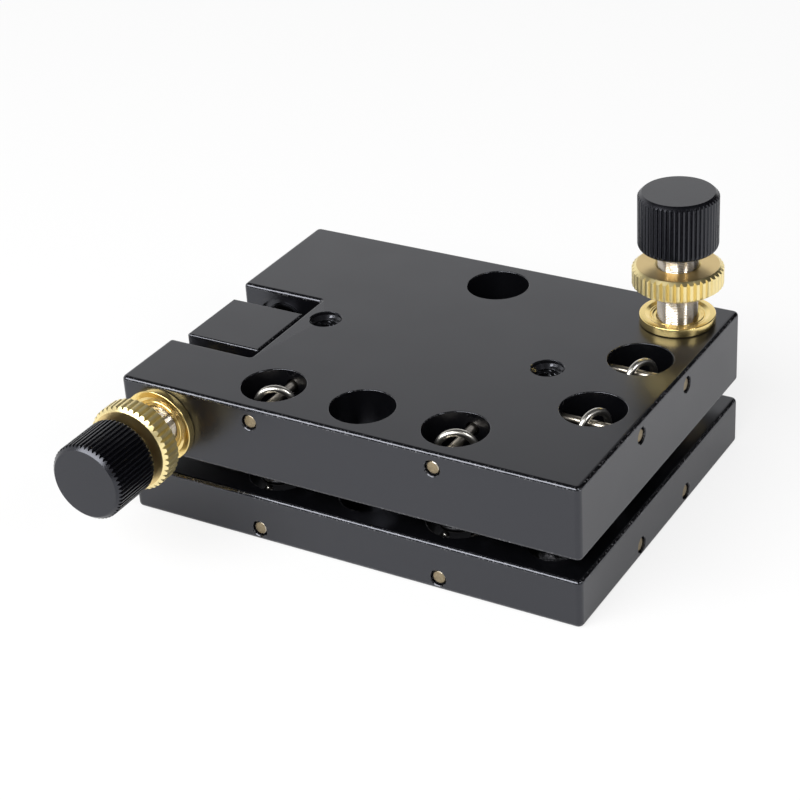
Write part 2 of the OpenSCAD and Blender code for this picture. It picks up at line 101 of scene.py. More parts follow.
camera_data = bpy.data.cameras.new("camera")
camera_data.lens = CAMERA_LENS
camera_data.sensor_width = 36
camera_data.clip_start = 0.01
camera = bpy.data.objects.new("camera", camera_data)
bpy.context.scene.collection.objects.link(camera)
look = (CAMERA_AIM - CAMERA_AT).to_track_quat("-Z", "Y")
camera.rotation_mode = "QUATERNION"
camera.rotation_quaternion = look @ Quaternion((0, 0, 1), math.radians(CAMERA_ROLL))
camera.location = CAMERA_AT * MM
bpy.context.scene.camera = camera
print("camera stands", round((CAMERA_AIM - CAMERA_AT).length), "mm from its aim")

# %% [markdown]
# ## Node helpers
# A procedural finish is a small network of nodes. Most nodes here do one of four jobs: they join two
# numbers, blend between two values, stretch a range, or raise a bump. One short function for each job
# turns a network into a few lines that read like a recipe.


# %% Add a node
def plug(tree, value, socket):
    """Links another node's socket to this one, or sets a plain value."""
    if isinstance(value, bpy.types.NodeSocket):
        tree.links.new(value, socket)
    else:
        socket.default_value = value


def feed(tree, node, **sockets):
    """Sets or links a node's inputs by name."""
    for name, value in sockets.items():
        plug(tree, value, node.inputs[name.replace("_", " ")])


def add_node(tree, kind, settings=None, **sockets):
    """Adds a node. Its kind is Blender's name for it without the leading ShaderNode."""
    made = tree.nodes.new("ShaderNode" + kind)
    for name, value in (settings or {}).items():
        setattr(made, name, value)
    feed(tree, made, **sockets)
    return made


# %% Nodes that work on numbers and colours
NUMBER_SOCKETS, COLOUR_SOCKETS = (2, 3), (6, 7)


def math_of(tree, operation, first, second):
    made = add_node(tree, "Math", {"operation": operation})
    plug(tree, first, made.inputs[0])
    plug(tree, second, made.inputs[1])
    return made.outputs[0]


def mix_numbers(tree, factor, first, second):
    made = add_node(tree, "Mix", Factor=factor)
    for value, i in zip((first, second), NUMBER_SOCKETS):
        plug(tree, value, made.inputs[i])
    return made.outputs[0]


def mix_colours(tree, factor, first, second):
    made = add_node(tree, "Mix", {"data_type": "RGBA"}, Factor=factor)
    for value, i in zip((first, second), COLOUR_SOCKETS):
        plug(tree, value, made.inputs[i])
    return made.outputs[2]


def stretch(tree, value, from_min, from_max, to_min=0, to_max=1, soft=False):
    """Maps one range of numbers to another, with soft ends where that is asked for."""
    kind = {"interpolation_type": "SMOOTHSTEP"} if soft else {}
    made = add_node(tree, "MapRange", kind, Value=value, From_Min=from_min, From_Max=from_max,
                    To_Min=to_min, To_Max=to_max)
    return made.outputs[0]


def ray_kinds(tree):
    """Tells whether a ray comes from the camera, and whether it comes from a mirror or a lens."""
    path = add_node(tree, "LightPath")
    mirrored = math_of(tree, "MAXIMUM", path.outputs["Is Glossy Ray"], path.outputs["Is Transmission Ray"])
    return path.outputs["Is Camera Ray"], mirrored


# %% Start a finish
def start_finish(name, colour, metallic, roughness):
    material = bpy.data.materials.new(name)
    material.use_nodes = True
    tree = material.node_tree
    shader = tree.nodes["Principled BSDF"]
    feed(tree, shader, Base_Color=(*colour, 1), Metallic=metallic, Roughness=roughness)
    return material, tree, shader


def tinted(colour, share):
    """The colour made lighter or darker, as a node wants it."""
    return (*(min(c * share, 1) for c in colour), 1)


print("a brass a tenth darker:", [round(c, 3) for c in tinted((0.9, 0.7, 0.29), 0.9)])

# %% [markdown]
# ## Studio
# Black glossy metal shows its surroundings more than its own colour, so the room matters. In reflections
# the back left wall is white, and the room darkens towards the ceiling and the photographer's side. A
# large soft box to the front left and a small one to the right light the metal. A black card behind the
# right side darkens the right edges. The camera itself sees plain white.

# %% Light the world
SKY_FOR_DIFFUSE = 0.35
CEILING = 0.05
WALL_TOP, CEILING_EDGE = 0.42, 0.72
PALE_WALL = (-0.5, 0.86, 0)
PALE_FROM, PALE_TO = -0.35, 0.25
DARK_SIDE = 0.3

world = bpy.data.worlds.new("studio")
bpy.context.scene.world = world
world.use_nodes = True
sky = world.node_tree
from_camera, mirrored = ray_kinds(sky)
towards = add_node(sky, "TexCoord").outputs["Generated"]
height = add_node(sky, "SeparateXYZ", Vector=towards).outputs["Z"]
walls = stretch(sky, height, WALL_TOP, CEILING_EDGE, 1, CEILING, soft=True)
to_wall = add_node(sky, "VectorMath", {"operation": "DOT_PRODUCT"})
plug(sky, towards, to_wall.inputs[0])
plug(sky, PALE_WALL, to_wall.inputs[1])
sides = stretch(sky, to_wall.outputs["Value"], PALE_FROM, PALE_TO, DARK_SIDE, 1, soft=True)
room = math_of(sky, "MULTIPLY", walls, sides)
reflected = mix_numbers(sky, mirrored, SKY_FOR_DIFFUSE, room)
strength = mix_numbers(sky, from_camera, reflected, 1)
feed(sky, sky.nodes["Background"], Color=(1, 1, 1, 1), Strength=strength)
print("world is white to the camera and", SKY_FOR_DIFFUSE, "as light")

# %% [markdown]
# A photograph on white has a floor that is lost in the background but keeps the shadow. The floor here
# glows where the camera sees it, and only a little where the metal mirrors it. The rest is plain pale
# board, which takes the shadow.

# %% Lay the floor
FLOOR_SIZE = 8
FLOOR_DROP = 0.02
FLOOR_SHADE = 0.93
FLOOR_ROUGHNESS = 0.8
FLOOR_SHINE = 0.1
SEEN_FILL = 0.78
MIRRORED_FILL = 0.1

bpy.ops.mesh.primitive_plane_add(size=FLOOR_SIZE, location=(0, 0, (BASE_LOW.z - FLOOR_DROP) * MM))
floor = bpy.context.object
floor.name = "floor"
floor_finish, board, board_shader = start_finish("pale_floor", (FLOOR_SHADE,) * 3, 0, FLOOR_ROUGHNESS)
feed(board, board_shader, Specular_IOR_Level=FLOOR_SHINE)
from_camera, mirrored = ray_kinds(board)
glow = add_node(board, "Emission", Color=(1, 1, 1, 1), Strength=1.0)
seen_fill = math_of(board, "MULTIPLY", from_camera, SEEN_FILL)
mirrored_fill = math_of(board, "MULTIPLY", mirrored, MIRRORED_FILL)
surface = add_node(board, "MixShader", Fac=math_of(board, "MAXIMUM", seen_fill, mirrored_fill))
plug(board, board_shader.outputs[0], surface.inputs[1])
plug(board, glow.outputs[0], surface.inputs[2])
feed(board, board.nodes["Material Output"], Surface=surface.outputs[0])
floor.data.materials.append(floor_finish)
print("floor lies", FLOOR_DROP, "mm under the base plate")


# %% Hang the lamps and the black card
LAMP_AIM = Vector((0, 0, 10))


def aim_at_stage(thing, place):
    thing.location = Vector(place) * MM
    thing.rotation_mode = "QUATERNION"
    thing.rotation_quaternion = (LAMP_AIM - Vector(place)).to_track_quat("-Z", "Y")


def soft_lamp(name, place, width, height, watts):
    light = bpy.data.lights.new(name, "AREA")
    light.shape = "RECTANGLE"
    light.size = width * MM
    light.size_y = height * MM
    light.energy = watts
    lamp = bpy.data.objects.new(name, light)
    bpy.context.scene.collection.objects.link(lamp)
    aim_at_stage(lamp, place)
    lamp.visible_camera = False
    print(name, "at", place, "mm,", watts, "W")


def black_card(name, place, width, height):
    bpy.ops.mesh.primitive_plane_add(size=1)
    card = bpy.context.object
    card.name = name
    card.scale = (width * MM, height * MM, 1)
    aim_at_stage(card, place)
    card.data.materials.append(start_finish(name, (0.01, 0.01, 0.01), 0, 0.9)[0])
    card.visible_camera = False
    card.visible_shadow = False
    card.visible_diffuse = False
    print(name, "at", place, "mm")


soft_lamp("box_front_left", (-160, -680, 570), 1000, 380, 10.5)
soft_lamp("box_right", (700, -215, 520), 160, 300, 1.6)
black_card("card_back_right", (420, 560, 290), 700, 600)

view = bpy.context.scene.view_settings
view.view_transform = "Standard"

# %% [markdown]
# ## Black anodised aluminium
# Anodising keeps the metal's fine blasted grain and dyes it black. The dye takes a little less on
# corners, and tumbling leaves the rounded edges slightly rough, while handling polishes them. The edge
# mask comes from the surface normal: on a flat top or side it is zero, and it rises where a rounded edge
# leans between them.


# %% Grain, bump and edge mask
def grain(tree, features_per_mm, detail=3):
    place = add_node(tree, "TexCoord").outputs["Object"]
    noise = add_node(tree, "TexNoise", Vector=place, Scale=features_per_mm / MM, Detail=detail)
    return noise.outputs[0]


def bump(tree, strength, depth, height, **sockets):
    """Bump of a depth in millimetres."""
    made = add_node(tree, "Bump", Strength=strength, Distance=depth * MM, Height=height,
                    **sockets)
    return made.outputs[0]


EDGE_FROM, EDGE_TO = 0.03, 0.16


def edge_mask(tree):
    normal = add_node(tree, "NewGeometry").outputs["Normal"]
    lean = add_node(tree, "SeparateXYZ", Vector=normal).outputs["Z"]
    upright = add_node(tree, "Math", {"operation": "ABSOLUTE"})
    plug(tree, lean, upright.inputs[0])
    level = upright.outputs[0]
    between = math_of(tree, "MULTIPLY", level, math_of(tree, "SUBTRACT", 1, level))
    return stretch(tree, between, EDGE_FROM, EDGE_TO)


print("wear begins where an edge leans by", EDGE_FROM, "and is full at", EDGE_TO)

# %% Finish for the plates, block and knobs
COAT_GLOSS = 1.67
COAT_TINT = (0.87, 0.895, 1, 1)
BARE_METAL = (0.32, 0.32, 0.34, 1)
CHIP_FROM, CHIP_TO = 0.55, 0.75
NOISE_LOW, NOISE_HIGH = 0.3, 0.7
SMEAR_LESS, SMEAR_MORE = 0.012, 0.015
EDGE_POLISH = 0.13
BLAST_DEPTH = 0.004
TUMBLE_DEPTH = 0.03


def anodised(name, colour, roughness, edge_wear, gloss=COAT_GLOSS):
    material, tree, shader = start_finish(name, colour, 0, roughness)
    speckle = grain(tree, 3.5, detail=2)
    worn = edge_mask(tree)
    dye = mix_colours(tree, grain(tree, 0.06, detail=4), tinted(colour, 0.85), tinted(colour, 1.2))
    chips = stretch(tree, speckle, CHIP_FROM, CHIP_TO, 0, edge_wear)
    coat = mix_colours(tree, math_of(tree, "MULTIPLY", chips, worn), dye, BARE_METAL)
    smears = stretch(tree, grain(tree, 0.15), NOISE_LOW, NOISE_HIGH, roughness - SMEAR_LESS,
                     roughness + SMEAR_MORE)
    polish = math_of(tree, "MULTIPLY", worn, EDGE_POLISH if edge_wear else 0)
    blasted = bump(tree, 0.35, BLAST_DEPTH, grain(tree, 6))
    tumbled = bump(tree, worn, TUMBLE_DEPTH * edge_wear, speckle, Normal=blasted)
    feed(tree, shader, IOR=gloss, Specular_Tint=COAT_TINT, Base_Color=coat,
         Roughness=math_of(tree, "SUBTRACT", smears, polish), Normal=tumbled)
    print("finish", name)
    return material


PLATE_BLACK = anodised("plate_black", (0.0014, 0.0014, 0.0020), 0.29, 0.4)
BLOCK_BLACK = anodised("block_black", (0.0018, 0.0018, 0.0024), 0.29, 0.4)
THREAD_BLACK = anodised("thread_black", (0.0030, 0.0030, 0.0036), 0.24, 0)
KNOB_BLACK = anodised("knob_black", (0.0014, 0.0014, 0.0024), 0.25, 0, 1.58)

# %% [markdown]
# ## Turned brass and steel
# A lathe leaves fine rings round the axis. Rings below the size of a pixel stretch the reflections into
# fans, which the shader's anisotropy gives, and a gentle ring bump breaks them up a little more. Each
# turned piece is modelled along its own Z axis, so one recipe fits all of them.

# %% Finishes for turned pieces
RINGS_PER_MM = 9
FAN_TURN = 0.25
HANDLED_LESS, HANDLED_MORE = 0.93, 1.08


def turned_rings(tree):
    """Noise that changes only with the distance from the axis and along it."""
    place = add_node(tree, "TexCoord").outputs["Object"]
    across = add_node(tree, "Mapping", Vector=place, Scale=(1, 1, 0))
    radius = add_node(tree, "VectorMath", {"operation": "LENGTH"})
    plug(tree, across.outputs[0], radius.inputs[0])
    along = add_node(tree, "SeparateXYZ", Vector=place).outputs["Z"]
    rings = add_node(tree, "TexNoise", {"noise_dimensions": "1D"}, Detail=2,
                     W=math_of(tree, "ADD", radius.outputs["Value"], along), Scale=RINGS_PER_MM / MM)
    return rings.outputs[0]


def turned_metal(name, colour, roughness, anisotropy, ring_depth, tarnish):
    material, tree, shader = start_finish(name, colour, 1, roughness)
    round_axis = add_node(tree, "Tangent", {"direction_type": "RADIAL", "axis": "Z"})
    clouds = grain(tree, 0.5, detail=4)
    tone = mix_colours(tree, clouds, tinted(colour, 1 - tarnish), tinted(colour, 1 + tarnish / 2))
    handled = stretch(tree, grain(tree, 1.2), NOISE_LOW, NOISE_HIGH, roughness * HANDLED_LESS,
                      roughness * HANDLED_MORE)
    rings = bump(tree, 0.6, ring_depth, turned_rings(tree))
    feed(tree, shader, Anisotropic=anisotropy, Anisotropic_Rotation=FAN_TURN, Tangent=round_axis.outputs[0],
         Base_Color=tone, Roughness=handled, Normal=rings)
    print("finish", name)
    return material


BRASS = turned_metal("turned_brass", (0.90, 0.70, 0.29), 0.22, 0.5, 0.002, 0.03)
# The lock nuts get two copies of one brass: a darker one on the flat end faces is painted shade, and a
# lighter one on the knurl is painted light.
SHADED_NUT_FACE_BRASS = turned_metal("shaded_nut_face_brass", (0.74, 0.56, 0.26), 0.30, 0.5, 0.002, 0.03)
LIT_NUT_BRASS = turned_metal("lit_nut_brass", (0.95, 0.80, 0.41), 0.34, 0.6, 0.001, 0.03)
SCREW_STEEL = turned_metal("screw_steel", (0.60, 0.56, 0.51), 0.20, 0.7, 0.0005, 0.04)
BALL_STEEL = turned_metal("ball_steel", (0.62, 0.60, 0.57), 0.10, 0.0, 0.0002, 0.02)
GROUND_STEEL = turned_metal("ground_steel", (0.56, 0.56, 0.55), 0.16, 0.2, 0.001, 0.06)
PIN_STEEL = turned_metal("pin_steel", (0.62, 0.57, 0.48), 0.30, 0.2, 0.0008, 0.08)
# Blackened steel for the guide pin. The pivot ball wears it too, as painted shade.
BLACK_STEEL_AND_SHADE = turned_metal("black_steel_and_painted_shade", (0.05, 0.05, 0.055), 0.25, 0.2, 0.001, 0.10)


# %% [markdown]
# ## Sawn ends and drawn wire
# A sawn end is torn and dull, so it gets strong grain. Drawn wire has streaks along its length, which
# need a coordinate that follows the wire: its UV map holds the distance from the nearer end and the turn
# round it. The hooks keep the wire's own colour. The coils, which sit in the gap between the plates, are
# painted near black as painted shade.

# %% Finishes for sawn pin ends and drawn wire
SAW_DEPTH = 0.05
STREAK_DEPTH = 0.02
STREAK_SCALE = (0.4, 14, 1)
# Painted shade: this near black on the coils stands for the shade in the gap between the plates.
GAP_SHADE_BLACK = (0.03, 0.03, 0.032, 1)
HOOK_UNSHADED_TO, COIL_SHADE_FROM = 10.5, 15.0


def sawn_steel(name, colour):
    material, tree, shader = start_finish(name, colour, 1, 0.5)
    torn = grain(tree, 4, detail=5)
    dull = mix_colours(tree, torn, tinted(colour, 0.5), tinted(colour, 1.5))
    feed(tree, shader, Base_Color=dull, Normal=bump(tree, 0.8, SAW_DEPTH, torn))
    print("finish", name)
    return material


def drawn_wire(name, colour):
    material, tree, shader = start_finish(name, colour, 1, 0.3)
    place = add_node(tree, "UVMap", {"uv_map": "wire"}).outputs[0]
    drawn = add_node(tree, "Mapping", Vector=place, Scale=STREAK_SCALE).outputs[0]
    streaks = add_node(tree, "TexNoise", Vector=drawn, Scale=1.0, Detail=3).outputs[0]
    bright = mix_colours(tree, streaks, tinted(colour, 0.8), tinted(colour, 1.12))
    from_end = add_node(tree, "SeparateXYZ", Vector=place).outputs["X"]
    # Painted shade: away from the hooks' ends, the wire fades to the near black of the gap's shade.
    outside_gap_shade = stretch(tree, from_end, COIL_SHADE_FROM, HOOK_UNSHADED_TO, soft=True)
    feed(tree, shader, Base_Color=mix_colours(tree, outside_gap_shade, GAP_SHADE_BLACK, bright),
         Normal=bump(tree, 0.2, STREAK_DEPTH, streaks))
    print("finish", name)
    return material


PIN_END = sawn_steel("pin_end", (0.30, 0.245, 0.16))
SPRING_WIRE = drawn_wire("spring_wire", (0.70, 0.68, 0.63))

# %% [markdown]
# ## Shapes before objects
# Blender can make a lathe shape with its Screw modifier, but a small function gives the same rings of
# points and lets the same shape serve as a piece or as a cutter. A shape here is a list of points in
# millimetres and a list of faces. Nearly every one is a skin over rings of points, from a turned bush to
# the wire of a spring.


# %% Skin over rings of points
def ring_faces(lower, upper):
    """Faces between two rings of point numbers. A ring of one point makes a fan."""
    count = max(len(lower), len(upper))
    faces = []
    for k in range(count):
        a, b = lower[k % len(lower)], lower[(k + 1) % len(lower)]
        c, d = upper[(k + 1) % len(upper)], upper[k % len(upper)]
        face = [a, b, c, d]
        faces.append([p for i, p in enumerate(face) if p not in face[:i]])
    return [f for f in faces if len(f) > 2]


def skin(rings, closed=False, capped=True):
    """Shape over rings of points. It can close on itself, or have a face over each end."""
    points, numbers = [], []
    for ring in rings:
        numbers.append(list(range(len(points), len(points) + len(ring))))
        points += ring
    pairs = zip(numbers, numbers[1:] + (numbers[:1] if closed else []))
    faces = [face for lower, upper in pairs for face in ring_faces(lower, upper)]
    if capped:
        faces += [numbers[0][::-1], numbers[-1]]
    return points, faces


# %% Lathe shapes
ON_AXIS = 1e-6


def polar(r, a, z):
    return (r * math.cos(a), r * math.sin(a), z)


def revolve(profile, steps=96, closed=False):
    """Lathe shape from (r, z) points. Points on the axis become a single point."""
    angles = [2 * math.pi * k / steps for k in range(steps)]
    rings = [[(0, 0, z)] if r < ON_AXIS else [polar(r, a, z) for a in angles] for r, z in profile]
    return skin(rings, closed, capped=False)


print("a turned disc has", len(revolve([(0, 0), (1, 0), (0, 1)])[0]), "points")


# %% Move and join shapes
def placed(shape, matrix):
    points, faces = shape
    return [tuple(matrix @ Vector(p)) for p in points], faces


def joined(shapes):
    points, faces = [], []
    for more_points, more_faces in shapes:
        first = len(points)
        points += list(more_points)
        faces += [[first + i for i in face] for face in more_faces]
    return points, faces


def quarter(steps):
    """Angles from 0 to a quarter turn."""
    return [math.pi / 2 * k / steps for k in range(steps + 1)]


print("a quarter turn in two steps:", [round(a, 2) for a in quarter(2)])

# %% [markdown]
# ## From shape to piece
# A piece is an object that stands for a CAD node: it rides on the same body, and the CAD node is hidden.
# Flat faces should look flat right up to a rounded edge, which weighted normals give.


# %% Make an object from a shape
def new_object(name, shape, place=None):
    points, faces = shape
    mesh = bpy.data.meshes.new(name)
    mesh.from_pydata([Vector(p) * MM for p in points], [], faces)
    work = bmesh.new()
    work.from_mesh(mesh)
    bmesh.ops.recalc_face_normals(work, faces=work.faces)
    work.to_mesh(mesh)
    work.free()
    made = bpy.data.objects.new(name, mesh)
    bpy.context.scene.collection.objects.link(made)
    if place:
        made.matrix_world = Matrix.Translation(place.to_translation() * MM) @ place.to_3x3().to_4x4()
    return made


def apply_modifiers(made):
    bpy.context.view_layer.update()
    graph = bpy.context.evaluated_depsgraph_get()
    mesh = bpy.data.meshes.new_from_object(made.evaluated_get(graph), depsgraph=graph)
    made.modifiers.clear()
    made.data = mesh


SHARP_ANGLE = 32


def smooth(made, sharp_angle=SHARP_ANGLE):
    made.data.shade_smooth()
    made.data.set_sharp_from_angle(angle=math.radians(sharp_angle))
    weighted = made.modifiers.new("flat_faces", "WEIGHTED_NORMAL")
    weighted.keep_sharp = True
    weighted.weight = 100
    apply_modifiers(made)


# %% Cut an object and put it on its body
def cut(made, cutters):
    """Takes the cutters, which must not touch each other, out of the piece."""
    tool = new_object(made.name + "_cutter", joined(cutters))
    boolean = made.modifiers.new("cut", "BOOLEAN")
    boolean.operation = "DIFFERENCE"
    boolean.solver = "EXACT"
    boolean.object = tool
    apply_modifiers(made)
    bpy.data.objects.remove(tool)


def stand_for(made, node, *finishes):
    made.data.materials.clear()
    for finish in finishes:
        made.data.materials.append(finish)
    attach(made, BODY_OF[node])
    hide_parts(node)
    print(made.name, "has", len(made.data.polygons), "faces")


def second_finish(made, is_chosen):
    """Gives a piece's second finish to the faces that the test picks."""
    for face in made.data.polygons:
        if is_chosen(face):
            face.material_index = 1


# %% [markdown]
# ## Plates
# Each plate is sawn and milled from bar, and every outer edge is rounded. A Bevel modifier could round a
# plain box, but rings of one outline, drawn in towards the faces along a quarter circle, keep the same
# rounding all the way round the slot. The holes come after, from cutters that carry their own edge break.

# %% Outline of a plate
CORNER_R = 0.85
EDGE_R = 0.62
SLOT_DEPTH = 13.55
SLOT_FRONT_WALL = 12.2
SLOT_W = 18.6
SLOT_MOUTH_R = 0.64
SLOT_CORNER_R = 0.3
ARC_STEPS = 6


def outline(corners, inset):
    """Outline through square (x, y, r) corners, anticlockwise, drawn in by the inset."""
    line = []
    count = len(corners)
    for i, (x, y, r) in enumerate(corners):
        last, after = Vector(corners[i - 1][:2]), Vector(corners[(i + 1) % count][:2])
        along_in = (Vector((x, y)) - last).normalized()
        along_out = (after - Vector((x, y))).normalized()
        turn = along_in.x * along_out.y - along_in.y * along_out.x
        inward = Vector((-along_in.y, along_in.x)) + Vector((-along_out.y, along_out.x))
        corner = Vector((x, y)) + inward * inset
        radius = r - inset if turn > 0 else r + inset
        centre = corner - along_in * radius + along_out * radius
        line += [centre + (along_in * math.sin(a) - along_out * math.cos(a)) * radius
                 for a in quarter(ARC_STEPS)]
    return line


def plate_blank(corners, z0, z1):
    """Plate between two heights, with rounded top and bottom edges."""
    rounding = [(EDGE_R * (1 - math.sin(a)), EDGE_R * (1 - math.cos(a))) for a in quarter(ARC_STEPS)]
    levels = [(inset, z0 + rise) for inset, rise in rounding]
    levels += [(inset, z1 - rise) for inset, rise in reversed(rounding)]
    return skin([[(p.x, p.y, z) for p in outline(corners, inset)] for inset, z in levels])


# %% Corners of both plates
left, right = TOP_LOW.x, TOP_HIGH.x
front, back = TOP_LOW.y, TOP_HIGH.y
slot_y0 = front + SLOT_FRONT_WALL
slot_y1 = slot_y0 + SLOT_W
slot_x1 = left + SLOT_DEPTH
BASE_CORNERS = [(left, front, CORNER_R), (right, front, CORNER_R),
                (right, back, CORNER_R), (left, back, CORNER_R)]
TOP_CORNERS = BASE_CORNERS + [(left, slot_y1, SLOT_MOUTH_R), (slot_x1, slot_y1, SLOT_CORNER_R),
                              (slot_x1, slot_y0, SLOT_CORNER_R), (left, slot_y0, SLOT_MOUTH_R)]
print("slot is", SLOT_W, "mm wide and", SLOT_DEPTH, "mm deep")

# %% [markdown]
# ### Cutters
# A drilled hole has a small break at each mouth, which catches the light as a thin pale ring. The tapped
# holes get a real thread: the cutter's radius swells and shrinks along a helix.

# %% Cutter for a plain hole
OVER = 1.0
MOUTH_BREAK = 0.14
FINE_BREAK = 0.06
BREAK_STEPS = 4


def drill(diameter, z0, z1, low_break=MOUTH_BREAK, high_break=MOUTH_BREAK, steps=96):
    """Cutter for a hole from z0 to z1. A break of zero leaves that end flat inside the metal."""
    r = diameter / 2

    def end(z, outwards, size):
        if not size:
            return [(0, z), (r, z)]
        wide = r + size
        past = z + outwards * OVER
        rounding = [(wide - size * math.sin(a), z - outwards * size * (1 - math.cos(a)))
                    for a in quarter(BREAK_STEPS)]
        return [(0, past), (wide, past)] + rounding

    return revolve(end(z0, -1, low_break) + end(z1, 1, high_break)[::-1], steps)


print("a drilled hole's mouth is rounded by", MOUTH_BREAK, "mm")


# %% Cutter for a tapped hole
def thread_wave(turn):
    """Depth share of a thread at a place along its pitch: flat root, two flanks, flat crest."""
    share = turn % 1
    return min(1, max(0, 1.25 - abs(2 * share - 1) * 2))


def threaded(rows, pitch, steps=48):
    """Shape from (r, z, depth) rows, with a helical groove of that depth cut into each row."""
    return skin([[polar(r - depth * thread_wave(z / pitch - k / steps), 2 * math.pi * k / steps, z)
                  for k in range(steps)] for r, z, depth in rows])


TAP_PITCH = 0.7
TAP_ROOT_D = 4.0
TAP_ROWS_PER_PITCH = 8
tap_core_r = MOUNTS["table_screws"]["dims"]["hole_r_mm"]
tap_x = MOUNTS["table_screws"]["dims"]["spacing_x_mm"] / 2


def tap(z0, z1):
    height = z1 - z0 + 2 * OVER
    count = int(height / TAP_PITCH * TAP_ROWS_PER_PITCH)
    heights = [z0 - OVER + height * k / count for k in range(count + 1)]
    return threaded([(TAP_ROOT_D / 2, z, TAP_ROOT_D / 2 - tap_core_r) for z in heights], TAP_PITCH)


print("tapped holes at x = +/-", tap_x, "mm")

# %% [markdown]
# ### Places of the holes
# Springs, pins and adjusters all know where they are in the frame, so each hole follows the piece that
# goes through it. Pins and adjusters are drawn along +Z and then laid along their own axis.

# %% Places and directions
SPRINGS = [node for node in BODY_OF if node.startswith("spring_")]
TOP_PINS = [node for node in BODY_OF if node.startswith("top_pin_")]
BASE_PINS = [node for node in BODY_OF if node.startswith("base_pin_")]
SPRING_HOLE_D = 9.0
access_y = MOUNTS["base_screws"]["dims"]["spacing_y_mm"] / 2
TO_BACK = Matrix.Rotation(math.radians(-90), 4, "X")
TO_LEFT = Matrix.Rotation(math.radians(-90), 4, "Y")


def pin_place(node):
    """Matrix that puts a piece drawn along +Z on a cross pin, from the plate's face inwards."""
    centre = middle_of(node)
    if "_front_" in node:
        return Matrix.Translation((centre.x, front, centre.z)) @ TO_BACK
    return Matrix.Translation((right, centre.y, centre.z)) @ TO_LEFT


knob_v, knob_h = middle_of("vertical_knob"), middle_of("horizontal_knob")
ON_VERTICAL = Matrix.Translation((knob_v.x, knob_v.y, TOP_HIGH.z))
ON_HORIZONTAL = Matrix.Translation((knob_h.x, front, knob_h.z)) @ Matrix.Rotation(math.radians(90), 4, "X")
print("vertical adjuster stands at", [round(v, 2) for v in ON_VERTICAL.to_translation()])


def local_box(node, place):
    """Box of a CAD node in the coordinates of a placed piece."""
    low, high = box_of(node)
    back_again = place.inverted()
    corners = [back_again @ Vector((x, y, z)) for x in (low.x, high.x)
               for y in (low.y, high.y) for z in (low.z, high.z)]
    return [Vector([pick(c[i] for c in corners) for i in range(3)]) for pick in (min, max)]


# %% Cutters that follow other pieces
PIN_MOUTH_D = 2.3
PIN_MOUTH_DEPTH = 0.6
PIN_BREAK = 0.11
PIN_FIT = 0.04
PIN_HOLE_EXTRA = 0.1
PIN_SIDES = 40
POCKET_SIDES = 64


def upright(shape, x, y, z=0):
    """The shape moved to a place, still along Z."""
    return placed(shape, Matrix.Translation((x, y, z)))


def both_sides(shape, x, y, z=0):
    """The shape twice, once on each side of the middle."""
    return [upright(shape, side * x, side * y, z) for side in (-1, 1)]


def on_drive(y):
    """Place on the horizontal adjuster's axis, facing the back."""
    return Matrix.Translation((knob_h.x, y, knob_h.z)) @ TO_BACK


def pin_cutter(node):
    low, high = local_box(node, pin_place(node))
    r = (high.x - low.x) / 2 + PIN_FIT / 2
    mouth = PIN_MOUTH_D / 2
    line = [(0, -OVER), (mouth + PIN_BREAK, -OVER), (mouth + PIN_BREAK, 0), (mouth, PIN_BREAK),
            (mouth, PIN_MOUTH_DEPTH), (r, PIN_MOUTH_DEPTH + mouth - r),
            (r, high.z + PIN_HOLE_EXTRA), (0, high.z + PIN_HOLE_EXTRA)]
    return placed(revolve(line, PIN_SIDES), pin_place(node))


def base_pocket(node):
    """Pocket for a round piece that is pressed into the base plate from above."""
    low, high = box_of(node)
    shape = drill(high.x - low.x + PIN_FIT / 2, low.z, BASE_HIGH.z, 0, FINE_BREAK, POCKET_SIDES)
    return upright(shape, *middle_of(node).xy)


def spring_drills(low, high):
    return [upright(drill(SPRING_HOLE_D, low, high), *middle_of(node).xy) for node in SPRINGS]


print("a cross pin's cutter has", len(pin_cutter(BASE_PINS[0])[0]), "points")

# %% Mill the base plate
BASE_BORE_D = 8.0
BASE_BORE_DEPTH = 4.4

base_plate = new_object("base_plate_milled", plate_blank(BASE_CORNERS, BASE_LOW.z, BASE_HIGH.z))
base_drills = spring_drills(BASE_LOW.z, BASE_HIGH.z)
base_drills += [base_pocket(node) for node in ("base_pivot_seat", "vertical_pad", "wedge_post")]
screw_hole_d = 2 * MOUNTS["base_screws"]["dims"]["hole_r_mm"]
base_drills += both_sides(drill(screw_hole_d, BASE_LOW.z, BASE_HIGH.z), 0, access_y)
cut(base_plate, base_drills)
base_bores = both_sides(drill(BASE_BORE_D, BASE_HIGH.z - BASE_BORE_DEPTH, BASE_HIGH.z, 0), 0, access_y)
cut(base_plate, base_bores + [pin_cutter(node) for node in BASE_PINS])
smooth(base_plate)
stand_for(base_plate, "base_plate", PLATE_BLACK)

# %% [markdown]
# The top plate is cut in two rounds, because cutters of one round must not touch each other. Its tapped
# holes are dyed like the rest, but nothing rubs there, so their thread gets a finish without worn edges.

# %% Drill the top plate
BUSH_BODY_D = 8.6
ACCESS_D = 9.0

top_plate = new_object("top_plate_milled", plate_blank(TOP_CORNERS, TOP_LOW.z, TOP_HIGH.z))
top_drills = spring_drills(TOP_LOW.z, TOP_HIGH.z)
top_drills += both_sides(drill(ACCESS_D, TOP_LOW.z, TOP_HIGH.z), 0, access_y)
top_drills.append(upright(drill(BUSH_BODY_D, TOP_LOW.z, TOP_HIGH.z), *knob_v.xy))
seat_low, seat_high = box_of("top_pivot_seat")
seat_drill = drill(seat_high.x - seat_low.x, TOP_LOW.z, seat_high.z, FINE_BREAK, 0, POCKET_SIDES)
top_drills.append(upright(seat_drill, *middle_of("top_pivot_seat").xy))
top_drills += both_sides(tap(TOP_LOW.z, TOP_HIGH.z), tap_x, 0)
cut(top_plate, top_drills)
print("first round:", len(top_drills), "holes")

